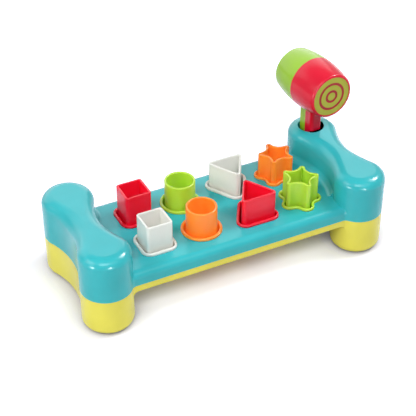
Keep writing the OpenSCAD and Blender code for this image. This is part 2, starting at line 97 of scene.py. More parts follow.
class Shop:
    """Shorthand for the modelling operators, on one object at a time."""

    @staticmethod
    def clear() -> None:
        """Leaves edit mode and deselects everything."""
        if bpy.context.object and bpy.context.object.mode != "OBJECT":
            bpy.ops.object.mode_set(mode="OBJECT")
        bpy.ops.object.select_all(action="DESELECT")

    @staticmethod
    def take(piece: bpy.types.Object) -> None:
        """Makes one piece the only selected and active one.

        Args:
            piece: The piece to work on.
        """
        Shop.clear()
        piece.select_set(True)
        bpy.context.view_layer.objects.active = piece

    @staticmethod
    def edit() -> None:
        """Goes into edit mode on the active piece."""
        bpy.ops.object.mode_set(mode="EDIT")

    @staticmethod
    def done() -> bpy.types.Object:
        """Goes back to object mode, and gives the active piece."""
        bpy.ops.object.mode_set(mode="OBJECT")
        return bpy.context.object

    @staticmethod
    def named(name: str) -> bpy.types.Object:
        """Names the active piece and its mesh.

        Args:
            name: The name.

        Returns:
            The piece.
        """
        piece = bpy.context.object
        piece.name = piece.data.name = name
        return piece

    @staticmethod
    def pick_all(kind: Kind) -> None:
        """Selects the whole piece in edit mode, as elements of one kind."""
        bpy.ops.mesh.select_mode(type=kind.name)
        bpy.ops.mesh.select_all(action="SELECT")

    @staticmethod
    def pick(kind: Kind, test: Callable[[bmesh.types.BMFace | bmesh.types.BMEdge], bool]) -> None:
        """Selects the elements of the piece in edit mode that pass a test.

        Args:
            kind: Kind of the elements.
            test: Says whether an element is wanted.
        """
        bpy.ops.mesh.select_mode(type=kind.name)
        bpy.ops.mesh.select_all(action="DESELECT")
        mesh = bpy.context.object.data
        work = bmesh.from_edit_mesh(mesh)
        for element in [e for e in getattr(work, kind.value) if test(e)]:
            element.select_set(True)
        bmesh.update_edit_mesh(mesh)

    @staticmethod
    def raise_by(height: float) -> None:
        """Extrudes what is selected upwards, or downwards below zero."""
        bpy.ops.mesh.extrude_region_move(TRANSFORM_OT_translate={"value": (0, 0, height)})

    @staticmethod
    def round_edges(width: float, segments: int) -> None:
        """Bevels the selected edges round, to a width and in a number of segments."""
        bpy.ops.mesh.bevel(offset=width, segments=segments, profile=ROUND_PROFILE,
                           affect="EDGES", clamp_overlap=True)

    @staticmethod
    def outwards() -> None:
        """Merges the piece in edit mode and points all its faces outwards."""
        bpy.ops.mesh.select_all(action="SELECT")
        bpy.ops.mesh.remove_doubles(threshold=WELD)
        bpy.ops.mesh.normals_make_consistent(inside=False)

    @staticmethod
    def apply(piece: bpy.types.Object, kind: str, **settings: object) -> None:
        """Adds a modifier to a piece and applies it.

        Args:
            piece: The piece to change.
            kind: Type of the modifier.
            settings: Its values.
        """
        Shop.take(piece)
        modifier = piece.modifiers.new(kind.title(), kind)
        for key, value in settings.items():
            setattr(modifier, key, value)
        bpy.ops.object.modifier_apply(modifier=modifier.name)

    @staticmethod
    def smooth(piece: bpy.types.Object, degrees: float = 35.0) -> None:
        """Shades a piece smooth, but for edges sharper than an angle."""
        Shop.take(piece)
        bpy.ops.object.shade_smooth_by_angle(angle=math.radians(degrees))

    @staticmethod
    def bake_place() -> None:
        """Puts the places of the selected pieces into their meshes."""
        bpy.ops.object.transform_apply(location=True, rotation=True, scale=True)

    @staticmethod
    def place(piece: bpy.types.Object, matrix: Matrix) -> None:
        """Moves a piece and puts its place into its mesh.

        Args:
            piece: The piece to move.
            matrix: Where it goes.
        """
        piece.matrix_world = matrix
        bpy.context.view_layer.update()
        Shop.take(piece)
        Shop.bake_place()

    @staticmethod
    def copy(piece: bpy.types.Object, name: str) -> bpy.types.Object:
        """Copies a piece with a mesh of its own.

        Args:
            piece: The piece to copy.
            name: Name of the copy.

        Returns:
            The copy, in the same place.
        """
        twin = piece.copy()
        twin.data = piece.data.copy()
        twin.name = twin.data.name = name
        bpy.context.scene.collection.objects.link(twin)
        return twin

    @staticmethod
    def join(pieces: list[bpy.types.Object], name: str) -> bpy.types.Object:
        """Joins pieces into the first of them.

        Args:
            pieces: The pieces.
            name: Name of the joined piece.

        Returns:
            The joined piece.
        """
        Shop.take(pieces[0])
        for piece in pieces[1:]:
            piece.select_set(True)
        bpy.ops.object.join()
        return Shop.named(name)


class Pen:
    """Draws a closed outline in edit mode, stretch by stretch, and fills it in."""

    def __init__(self, name: str, start: Vector) -> None:
        """Sets a first point.

        Args:
            name: Name of the piece.
            start: The point.
        """
        Shop.clear()
        bpy.ops.mesh.primitive_plane_add(size=MM, location=(0, 0, 0))
        self.piece = Shop.named(name)
        Shop.edit()
        Shop.pick_all(Kind.VERT)
        bpy.ops.mesh.merge(type="CENTER")
        bpy.ops.mesh.select_all(action="SELECT")
        bpy.ops.transform.translate(value=start)
        self.at = start.copy()

    def line(self, to: Vector) -> None:
        """Draws a straight stretch.

        Args:
            to: Its end.
        """
        step = to - self.at
        bpy.ops.mesh.extrude_region_move(TRANSFORM_OT_translate={"value": step})
        self.at = to.copy()

    def turn(self, middle: Vector, degrees: float, steps: int) -> None:
        """Draws a round stretch.

        Args:
            middle: Centre of the arc.
            degrees: How far it turns, to the left if above zero.
            steps: Number of edges in it.
        """
        angle = math.radians(degrees)
        bpy.ops.mesh.spin(steps=steps, angle=-angle, center=middle, axis=(0, 0, 1))
        self.at = middle + Matrix.Rotation(angle, 3, "Z") @ (self.at - middle)

    def fill(self) -> bpy.types.Object:
        """Closes the outline and fills it with one face.

        Returns:
            The flat piece, in edit mode with its face selected.
        """
        bpy.ops.mesh.select_all(action="SELECT")
        bpy.ops.mesh.remove_doubles(threshold=WELD)
        bpy.ops.mesh.select_all(action="SELECT")
        bpy.ops.mesh.edge_face_add()
        Shop.pick_all(Kind.FACE)
        return self.piece


class Shape(Enum):
    """Outlines of the pegs, named as in the nodes."""

    SQUARE = "square"
    ROUND = "round"
    TRIANGLE = "triangle"
    STAR = "star"


@dataclass(frozen=True)
class Outlines:
    """Sizes of the peg outlines."""

    square_w: float = 29.6 * MM
    square_corner: float = 3.2 * MM
    round_d: float = 34.0 * MM
    triangle_r: float = 26.4 * MM
    triangle_corner: float = 3.8 * MM
    star_r: float = 17.1 * MM
    star_tip: float = 3.2 * MM
    star_notch: float = 13.1 * MM
    star_points: int = 5
    star_first: float = 270.0
    grip_clear: float = 0.35 * MM
    draw_back: float = 0.22
    round_steps: int = 144
    corner_steps: int = 12
    tip_steps: int = 18
    notch_steps: int = 14

    def drawn(self, grow: float) -> float:
        """How far the corners draw back when an outline is grown past the grip."""
        return self.draw_back * max(0.0, grow - self.grip_clear)

    def polygon(self, name: str, first: float, count: int, inner: float, corner: float,
                grow: float) -> bpy.types.Object:
        """Draws a regular polygon with round corners.

        Args:
            name: Name of the piece.
            first: Angle of the first corner.
            count: Number of corners.
            inner: Distance of the sides from the middle.
            corner: Radius of the corners.
            grow: Distance that the outline is grown by.

        Returns:
            The flat piece, in edit mode.
        """
        step = 360.0 / count
        cosine = math.cos(math.radians(step / 2))
        corner += grow + self.drawn(grow) / (1 / cosine - 1)
        reach = (inner + grow - corner) / cosine
        pen = Pen(name, polar(reach, first) + polar(corner, first - step / 2))
        for k in range(count):
            here, after = first + k * step, first + (k + 1) * step
            pen.turn(polar(reach, here), step, self.corner_steps)
            pen.line(polar(reach, after) + polar(corner, after - step / 2))
        return pen.fill()

    def star(self, name: str, grow: float) -> bpy.types.Object:
        """Draws the star, whose notches run smoothly into its tips.

        Args:
            name: Name of the piece.
            grow: Distance that the outline is grown by.

        Returns:
            The flat piece, in edit mode.
        """
        half = 180.0 / self.star_points
        cosine = math.cos(math.radians(half))
        r, tip, low = self.star_r - self.drawn(grow), self.star_tip + grow, self.star_notch + grow
        across = r * r + low * low - 2 * r * low * cosine
        notch = (across - tip * tip) / (2 * (tip - low + r * cosine))
        flank = polar(low + notch, half) - Vector((r, 0, 0))
        side = math.degrees(math.atan2(flank.y, flank.x))
        pen = Pen(name, polar(r, self.star_first) + polar(tip, self.star_first - side))
        for k in range(self.star_points):
            here = self.star_first + 2 * half * k
            pen.turn(polar(r, here), 2 * side, self.tip_steps)
            pen.turn(polar(low + notch, here + half), -2 * (side - half), self.notch_steps)
        return pen.fill()

    def circle(self, name: str, grow: float) -> bpy.types.Object:
        """Draws the circle.

        Args:
            name: Name of the piece.
            grow: Distance that the outline is grown by.

        Returns:
            The flat piece, in edit mode.
        """
        Shop.clear()
        bpy.ops.mesh.primitive_circle_add(
            vertices=self.round_steps, radius=self.round_d / 2 + grow, fill_type="NGON",
            location=(0, 0, 0))
        piece = Shop.named(name)
        Shop.edit()
        Shop.pick_all(Kind.FACE)
        return piece

    def draw(self, shape: Shape, name: str, grow: float) -> bpy.types.Object:
        """Draws an outline as one flat face.

        Args:
            shape: Which outline.
            name: Name of the piece.
            grow: Distance that the outline is grown by.

        Returns:
            The flat piece, in edit mode with its face selected.
        """
        if shape is Shape.ROUND:
            return self.circle(name, grow)
        if shape is Shape.SQUARE:
            return self.polygon(name, first=45.0, count=4, inner=self.square_w / 2,
                                corner=self.square_corner, grow=grow)
        if shape is Shape.TRIANGLE:
            return self.polygon(name, first=90.0, count=3, inner=self.triangle_r / 2,
                                corner=self.triangle_corner, grow=grow)
        return self.star(name, grow)


@dataclass(frozen=True)
class Noise:
    """A cloudy pattern: its scale per metre, its octaves and the weight of the finer ones."""

    scale: float
    detail: float
    rough: float


class Nodes:
    """Shorthand for the nodes of one material or world."""

    def __init__(self, owner: bpy.types.Material | bpy.types.World) -> None:
        """Turns the owner's nodes on and takes hold of them."""
        owner.use_nodes = True
        self.tree = owner.node_tree

    def feed(self, node: bpy.types.Node, given: Given) -> None:
        """Fills in a node's inputs.

        Args:
            node: The node.
            given: A value, or a socket to link from, for each input.
        """
        for key, value in given.items():
            if isinstance(value, bpy.types.NodeSocket):
                self.tree.links.new(value, node.inputs[key])
            else:
                node.inputs[key].default_value = value

    def feed_named(self, name: str, given: Given) -> bpy.types.Node:
        """Fills in the inputs of a node that the tree starts with.

        Args:
            name: Name of the node.
            given: A value, or a socket to link from, for each input.

        Returns:
            The node.
        """
        node = self.tree.nodes[name]
        self.feed(node, given)
        return node

    def add(self, kind: str, given: Given | None = None, **settings: object) -> bpy.types.Node:
        """Adds a node.

        Args:
            kind: Its type, without the words that all types start with.
            given: A value, or a socket to link from, for each input that isn't left as it is.
            settings: Its other values.

        Returns:
            The node.
        """
        node = self.tree.nodes.new(f"ShaderNode{kind}")
        for key, value in settings.items():
            setattr(node, key, value)
        self.feed(node, given or {})
        return node

    def place(self) -> bpy.types.NodeSocket:
        """Gives the object's own coordinates."""
        return self.add("TexCoord").outputs["Object"]

    def noise(self, place: bpy.types.NodeSocket, noise: Noise) -> bpy.types.NodeSocket:
        """Adds a cloudy pattern.

        Args:
            place: Coordinates that it reads.
            noise: The pattern.

        Returns:
            Its value.
        """
        node = self.add("TexNoise", {"Vector": place, "Scale": noise.scale,
                                     "Detail": noise.detail, "Roughness": noise.rough})
        return node.outputs["Fac"]

    def ramp(self, value: bpy.types.NodeSocket, low: Colour, high: Colour,
             span: tuple[float, float] = (0.0, 1.0)) -> bpy.types.NodeSocket:
        """Turns a value into a colour between two.

        Args:
            value: The value.
            low: Colour at the start of the span.
            high: Colour at its end.
            span: Part of the value's range that counts.

        Returns:
            The colour.
        """
        node = self.add("ValToRGB", {"Fac": value})
        for element, at, colour in zip(node.color_ramp.elements, span, (low, high)):
            element.position = at
            element.color = (*colour, 1.0)
        return node.outputs["Color"]

    def spread(self, value: bpy.types.NodeSocket, low: float, high: float,
               span: tuple[float, float] = (0.0, 1.0),
               soft: bool = False) -> bpy.types.NodeSocket:
        """Maps a span of a value to another range.

        Args:
            value: The value.
            low: What the start of the span becomes.
            high: What its end becomes.
            span: Part of the value's range that counts.
            soft: Whether it starts and ends softly.

        Returns:
            The new value.
        """
        node = self.add("MapRange", {"Value": value, "From Min": span[0], "From Max": span[1],
                                     "To Min": low, "To Max": high},
                        interpolation_type="SMOOTHSTEP" if soft else "LINEAR")
        return node.outputs["Result"]

    def bump(self, height: bpy.types.NodeSocket, depth: float,
             under: bpy.types.NodeSocket | None = None) -> bpy.types.NodeSocket:
        """Adds a bump.

        Args:
            height: Pattern that raises the surface.
            depth: How far.
            under: A bump that it lies on.

        Returns:
            The bumped normal.
        """
        node = self.add("Bump", {"Strength": 1.0, "Distance": depth, "Height": height})
        if under is not None:
            self.feed(node, {"Normal": under})
        return node.outputs["Normal"]

    def both(self, first: bpy.types.NodeSocket,
             second: bpy.types.NodeSocket) -> bpy.types.NodeSocket:
        """Adds two shaders up."""
        return self.add("AddShader", {0: first, 1: second}).outputs[0]

    def backdrop_ray(self) -> bpy.types.NodeSocket:
        """Tells rays that should see the white backdrop.

        Returns:
            One for camera, glossy and transmission rays, and zero for the rest.
        """
        rays = self.add("LightPath").outputs
        seen = rays["Is Camera Ray"]
        for name in ("Is Glossy Ray", "Is Transmission Ray"):
            seen = self.add("Math", {0: seen, 1: rays[name]}, operation="MAXIMUM").outputs[0]
        return seen

    def show(self, outlet: str, lit: bpy.types.NodeSocket, seen: bpy.types.NodeSocket) -> None:
        """Shows one shader to the rays that see the backdrop, and a lit one to the rest."""
        mix = self.add("MixShader", {"Fac": self.backdrop_ray(), 1: lit, 2: seen})
        self.feed_named(outlet, {"Surface": mix.outputs[0]})


@dataclass(frozen=True)
class Finish:
    """A finish, whose material is made once."""

    name: str

    def material(self) -> bpy.types.Material:
        """Makes the material, or gives back the one that was made before.

        Returns:
            The material.
        """
        made = bpy.data.materials.get(self.name)
        if not made:
            made = bpy.data.materials.new(self.name)
            self.dress(made, Nodes(made))
        return made

    def dress(self, made: bpy.types.Material, nodes: Nodes) -> None:
        """Leaves a material plain."""


@dataclass(frozen=True)
class MouldedPlastic(Finish):
    """Glossy injection-moulded plastic with a faint flow pattern and fine skin."""

    colour: Colour
    flow_tone: float = 0.05
    roughness: float = 0.2
    gloss_spread: tuple[float, float] = (-0.04, 0.06)
    ior: float = 1.5
    specular: float = 0.28
    depth: float = 0.0
    depth_scale: float = 6.0 * MM
    depth_radius: Colour = (1.0, 1.0, 1.0)
    # Emission in the plastic's own colour: a painted glow that lifts its shaded sides, not a
    # lamp.
    shade_lifting_glow: float = 0.0
    noise_span: tuple[float, float] = (0.3, 0.7)
    flow: Noise = Noise(26.0, 3.0, 0.55)
    smudge: Noise = Noise(130.0, 4.0, 0.6)
    wave: Noise = Noise(34.0, 1.0, 0.4)
    wave_depth: float = 0.12 * MM
    skin: Noise = Noise(900.0, 2.0, 0.5)
    skin_depth: float = 0.006 * MM

    def linear(self, gain: float = 1.0) -> Colour:
        """Colour for a shader.

        Args:
            gain: Factor on its brightness.

        Returns:
            The colour in linear light.
        """
        def light(c: float) -> float:
            """Linear value of one channel."""
            c /= 255.0
            return c / 12.92 if c <= 0.04045 else ((c + 0.055) / 1.055) ** 2.4
        r, g, b = (min(1.0, light(c) * gain) for c in self.colour)
        return (r, g, b)

    def dress(self, made: bpy.types.Material, nodes: Nodes) -> None:
        """Gives a material the plastic's colour, depth, gloss and skin, and a painted glow that
        lifts its shade where it has one.

        Args:
            made: The material.
            nodes: Its nodes.
        """
        plain = (*self.linear(), 1.0)
        made.diffuse_color = plain
        place = nodes.place()
        pale, deep = self.linear(1.0 + self.flow_tone), self.linear(1.0 - self.flow_tone)
        tones = nodes.ramp(nodes.noise(place, self.flow), deep, pale, self.noise_span)
        least, most = (self.roughness + more for more in self.gloss_spread)
        gloss = nodes.spread(nodes.noise(place, self.smudge), least, most, self.noise_span)
        wave = nodes.bump(nodes.noise(place, self.wave), self.wave_depth)
        skin = nodes.bump(nodes.noise(place, self.skin), self.skin_depth, wave)
        nodes.feed_named("Principled BSDF", {
            "Base Color": tones, "Roughness": gloss, "Normal": skin,
            "IOR": self.ior, "Specular IOR Level": self.specular,
            "Subsurface Weight": self.depth, "Subsurface Scale": self.depth_scale,
            "Subsurface Radius": self.depth_radius,
            "Emission Color": plain, "Emission Strength": self.shade_lifting_glow})


@dataclass(frozen=True)
class PlainSteel(Finish):
    """Zinc-plated screw steel with turning marks."""

    name: str = "screw_steel"
    colour: Colour = (0.52, 0.52, 0.54)
    tones: tuple[float, float] = (0.8, 1.15)
    roughness: tuple[float, float] = (0.25, 0.45)
    marks: Noise = Noise(1400.0, 2.0, 0.5)

    def dress(self, made: bpy.types.Material, nodes: Nodes) -> None:
        """Gives a material the steel's tones and marks.

        Args:
            made: The material; not used.
            nodes: Its nodes.
        """
        marks = nodes.noise(nodes.place(), self.marks)
        dark, bright = (tuple(tone * c for c in self.colour) for tone in self.tones)
        nodes.feed_named("Principled BSDF", {
            "Metallic": 1.0, "Base Color": nodes.ramp(marks, dark, bright),
            "Roughness": nodes.spread(marks, *self.roughness)})


class Paint(Enum):
    """Finishes of the toy, each with the record's slot that it belongs to."""

    TURQUOISE = ("turquoise_plastic", MouldedPlastic("turquoise_gloss", (48, 178, 186)))
    YELLOW = ("yellow_plastic", MouldedPlastic("yellow_gloss", (231, 222, 84)))
    RED = ("red_plastic", MouldedPlastic("red_gloss", (219, 8, 47)))
    LIME = ("lime_plastic", MouldedPlastic("lime_gloss", (152, 199, 38)))
    RED_PEG = ("red_plastic", MouldedPlastic("red_clear_gloss", (244, 22, 52), depth=1.0))
    LIME_PEG = ("lime_plastic", MouldedPlastic("lime_clear_gloss", (180, 219, 66), depth=1.0))
    # The orange pegs glow faintly: painted light that keeps their shaded sides bright.
    ORANGE_PEG = ("orange_plastic", MouldedPlastic(
        "orange_clear_gloss", (255, 140, 46), depth=1.0, shade_lifting_glow=0.11))
    WHITE_PEG = ("white_plastic", MouldedPlastic(
        "white_clear_gloss", (230, 231, 224), flow_tone=0.03, depth=0.8))
    # The lime pad's face is lime dulled toward olive: painted shade in its colour.
    LIME_PAD = ("lime_pad", MouldedPlastic("lime_pad_skin", (176, 178, 58), roughness=0.5))
    RED_PAD = ("red_pad", MouldedPlastic("red_pad_skin", (206, 30, 52), roughness=0.5))
    RED_RING = ("lime_pad", MouldedPlastic("red_ring_ink", (172, 34, 44), roughness=0.5))
    LIME_RING = ("red_pad", MouldedPlastic("lime_ring_ink", (170, 190, 52), roughness=0.5))
    STEEL = ("screw_steel", PlainSteel())

    @property
    def slot(self) -> str:
        """The record's slot."""
        return self.value[0]

    @property
    def material(self) -> bpy.types.Material:
        """The finish's material."""
        return self.value[1].material()


def settle(piece: bpy.types.Object, body: str, nodes: Iterable[str],
           paints: Iterable[Paint]) -> bpy.types.Object:
    """Paints a finished piece, hangs it on the body that carries it, and hides the nodes that it
    stands for.

    Args:
        piece: The finished piece.
        body: The body that carries it.
        nodes: The nodes that it stands for.
        paints: Its finishes, in the order of its material slots.

    Returns:
        The piece.
    """
    paints = list(paints)
    piece.data.materials.clear()
    for paint in paints:
        piece.data.materials.append(paint.material)
    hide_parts(*nodes)
    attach(piece, body)
    log.info("%s: %d faces on %s", piece.name, len(piece.data.polygons), body)
    return piece


@dataclass
class Moulding:
    """A large moulding that keeps the solid's shape and gets a finer skin."""

    node: str
    name: str
    body: str
    paint: Paint
    merge: float = 0.004 * MM
    flat: float = 0.3
    crease: float = 32.0
    large_face_weight: int = 80

    def build(self) -> bpy.types.Object:
        """Merges a copy of the solid's mesh, and shades it as one smooth skin.

        Returns:
            The finished piece.
        """
        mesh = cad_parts[self.node].data.copy()
        piece = bpy.data.objects.new(self.name, mesh)
        mesh.name = self.name
        bpy.context.scene.collection.objects.link(piece)
        Shop.take(piece)
        if mesh.has_custom_normals:
            bpy.ops.mesh.customdata_custom_splitnormals_clear()
        Shop.edit()
        bpy.ops.mesh.select_all(action="SELECT")
        bpy.ops.mesh.remove_doubles(threshold=self.merge)
        bpy.ops.mesh.dissolve_limited(angle_limit=math.radians(self.flat))
        Shop.done()
        self.shape(piece)
        Shop.smooth(piece, self.crease)
        Shop.apply(piece, "WEIGHTED_NORMAL", keep_sharp=True, weight=self.large_face_weight,
                   mode="FACE_AREA")
        return settle(piece, self.body, [self.node], [self.paint])

    def shape(self, piece: bpy.types.Object) -> None:
        """Leaves the solid's shape as it is."""


@dataclass
class BenchShell(Moulding):
    """The bench's top moulding, with end blocks that roll off more softly than the solid's."""

    middle: Vector = field(default_factory=Vector)
    block_x: float = 151.5 * MM
    lobe_y: float = 51.0 * MM
    lobe_r: float = 28.0 * MM
    waist_half: float = 17.0 * MM
    block_h: float = 97.5 * MM
    rounding: float = 11.0 * MM
    waist_deeper: float = 0.41
    waist_wider: float = 0.45
    lobe_wider: float = 0.15
    tell: float = 0.12 * MM

    @property
    def hollow_r(self) -> float:
        """Radius of a waist's hollow side, which meets both lobes."""
        y, m, w = self.lobe_y, self.lobe_r, self.waist_half
        return (w * w + y * y - m * m) / (2 * (m - w))

    def beside(self, at: Vector) -> tuple[float, float, Vector]:
        """Where a point lies beside the nearer end block.

        Args:
            at: The point.

        Returns:
            Its distance inside the block's side, its share of the way from a lobe to the middle
            of the waist, and the level direction from the side straight into the block.
        """
        across, y = at.x - self.middle.x, at.y - self.middle.y
        x = abs(across) - self.block_x
        end = self.lobe_y * self.hollow_r / (self.hollow_r + self.lobe_r)
        if abs(y) < end:
            in_x, in_y = x - math.copysign(self.waist_half + self.hollow_r, x), y
            inside = math.hypot(in_x, in_y) - self.hollow_r
            share = math.cos(math.pi / 2 * y / end) ** 2
        else:
            in_x, in_y = -x, math.copysign(self.lobe_y, y) - y
            inside, share = self.lobe_r - math.hypot(in_x, in_y), 0.0
        return inside, share, Vector((math.copysign(1.0, across) * in_x, in_y, 0.0)).normalized()

    def shape(self, piece: bpy.types.Object) -> None:
        """Draws the rounding of the blocks' tops out into a softer roll.

        Args:
            piece: The merged copy of the solid.
        """
        r, top = self.rounding, self.block_h
        for vert in piece.data.vertices:
            inside, share, way = self.beside(vert.co)
            below = top - vert.co.z
            if not all(-self.tell < off < r + self.tell for off in (inside, below)):
                continue
            if abs(math.hypot(r - inside, r - below) - r) > self.tell:
                continue
            wider = self.lobe_wider + (self.waist_wider - self.lobe_wider) * share
            vert.co += way * (inside * wider)
            vert.co.z = top - below * (1.0 + self.waist_deeper * share)


@dataclass
class PegSet:
    """The pegs and the collars that they stand in."""

    outlines: Outlines = field(default_factory=Outlines)
    middle: Vector = field(default_factory=Vector)
    columns: dict[Shape, float] = field(default_factory=lambda: {
        Shape.SQUARE: -85.0 * MM, Shape.ROUND: -30.3 * MM,
        Shape.TRIANGLE: 32.0 * MM, Shape.STAR: 90.2 * MM})
    rows: dict[Shape, float] = field(default_factory=lambda: {
        Shape.SQUARE: 26.7 * MM, Shape.ROUND: 26.7 * MM,
        Shape.TRIANGLE: 29.6 * MM, Shape.STAR: 27.2 * MM})
    peg_len: float = 58.0 * MM
    peg_wall: float = 2.4 * MM
    peg_floor: float = 2.4 * MM
    peg_edge: float = 1.15 * MM
    peg_edge_steps: int = 4
    deck_z: float = 61.2 * MM
    tray_floor: float = 40.6 * MM
    collar_gap: float = 2.0 * MM
    collar_rim: float = 3.5 * MM
    collar_h: float = 3.0 * MM
    sleeve_wall: float = 1.6 * MM
    grip_h: float = 5.0 * MM
    rim_steps: int = 12
    members: ClassVar[list[tuple[Shape, str, Paint, int]]] = [
        (Shape.SQUARE, "white", Paint.WHITE_PEG, -1), (Shape.SQUARE, "red", Paint.RED_PEG, 1),
        (Shape.ROUND, "orange", Paint.ORANGE_PEG, -1), (Shape.ROUND, "green", Paint.LIME_PEG, 1),
        (Shape.TRIANGLE, "red", Paint.RED_PEG, -1), (Shape.TRIANGLE, "white", Paint.WHITE_PEG, 1),
        (Shape.STAR, "green", Paint.LIME_PEG, -1), (Shape.STAR, "orange", Paint.ORANGE_PEG, 1)]

    def model_peg(self, shape: Shape) -> bpy.types.Object:
        """Models an open cup on an outline, with its foot at height zero.

        Args:
            shape: The outline.

        Returns:
            The cup.
        """
        self.outlines.draw(shape, f"{shape.value}_cup", 0.0)
        Shop.raise_by(self.peg_len)
        bpy.ops.mesh.inset(thickness=self.peg_wall)
        Shop.raise_by(self.peg_floor - self.peg_len)
        Shop.outwards()
        Shop.pick(Kind.EDGE, is_corner)
        Shop.round_edges(self.peg_edge, self.peg_edge_steps)
        piece = Shop.done()
        Shop.smooth(piece)
        return piece

    def collar_profile(self) -> list[tuple[float, float]]:
        """Section of a collar.

        Returns:
            How far each of its points lies outside the peg, and its height.
        """
        clear, gap = self.outlines.grip_clear, self.collar_gap
        out, sleeve = gap + self.collar_rim, gap + self.sleeve_wall
        floor, deck, lip = self.tray_floor, self.deck_z, self.tray_floor + self.grip_h
        r = self.collar_rim / 2
        crown = Vector((gap + r, 0, deck + self.collar_h - r))
        profile = [(clear, floor), (sleeve, floor), (sleeve, deck), (out, deck)]
        for k in range(self.rim_steps + 1):
            arm = polar(r, 180.0 * k / self.rim_steps)
            profile.append((crown.x + arm.x, crown.z + arm.y))
        return profile + [(gap, lip + gap - clear), (clear, lip)]

    def model_collar(self, shape: Shape) -> bpy.types.Object:
        """Models a collar: a round rim on the deck, and a sleeve below it with a lip that grips.

        Args:
            shape: The outline.

        Returns:
            The collar, at its height.
        """
        rings = [self.ring(shape, grow, z) for grow, z in self.collar_profile()]
        bands = []
        for k, first in enumerate(rings):
            after = rings[(k + 1) % len(rings)]
            pair = [Shop.copy(first, "band"), Shop.copy(after, "edge")]
            bands.append(Shop.join(pair, f"band_{k}"))
            Shop.edit()
            Shop.pick_all(Kind.EDGE)
            bpy.ops.mesh.bridge_edge_loops()
            Shop.done()
        for ring in rings:
            bpy.data.objects.remove(ring)
        piece = Shop.join(bands, f"{shape.value}_collar")
        Shop.edit()
        Shop.outwards()
        Shop.done()
        Shop.smooth(piece)
        return piece

    def ring(self, shape: Shape, grow: float, z: float) -> bpy.types.Object:
        """Draws an outline as a bare ring of edges at a height.

        Args:
            shape: The outline.
            grow: Distance that it is grown by.
            z: Its height.

        Returns:
            The ring.
        """
        self.outlines.draw(shape, "ring", grow)
        bpy.ops.transform.translate(value=(0, 0, z))
        bpy.ops.mesh.delete(type="ONLY_FACE")
        return Shop.done()

    def spot(self, shape: Shape, row: int, z: float) -> Matrix:
        """Place of a peg or collar: row -1 is in front, and row 1 at the back is turned round."""
        at = self.middle + Vector((self.columns[shape], row * self.rows[shape], z))
        return Matrix.Translation(at) @ Matrix.Rotation(math.pi if row > 0 else 0.0, 4, "Z")

    def build(self) -> None:
        """Models each outline's cup and collar once, and copies them to their places."""
        for shape in Shape:
            cup, ring = self.model_peg(shape), self.model_collar(shape)
            for kind, word, paint, row in self.members:
                if kind is not shape:
                    continue
                peg_node = f"{shape.value}_peg_{word}"
                collar_node = f"{shape.value}_collar_{word}"
                peg = Shop.copy(cup, f"{peg_node}_moulding")
                Shop.place(peg, self.spot(shape, row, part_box(peg_node)[0].z))
                settle(peg, peg_node, [peg_node], [paint])
                collar = Shop.copy(ring, f"{collar_node}_moulding")
                Shop.place(collar, self.spot(shape, row, 0.0))
                settle(collar, "bench", [collar_node], [paint])
            for first in (cup, ring):
                bpy.data.objects.remove(first)


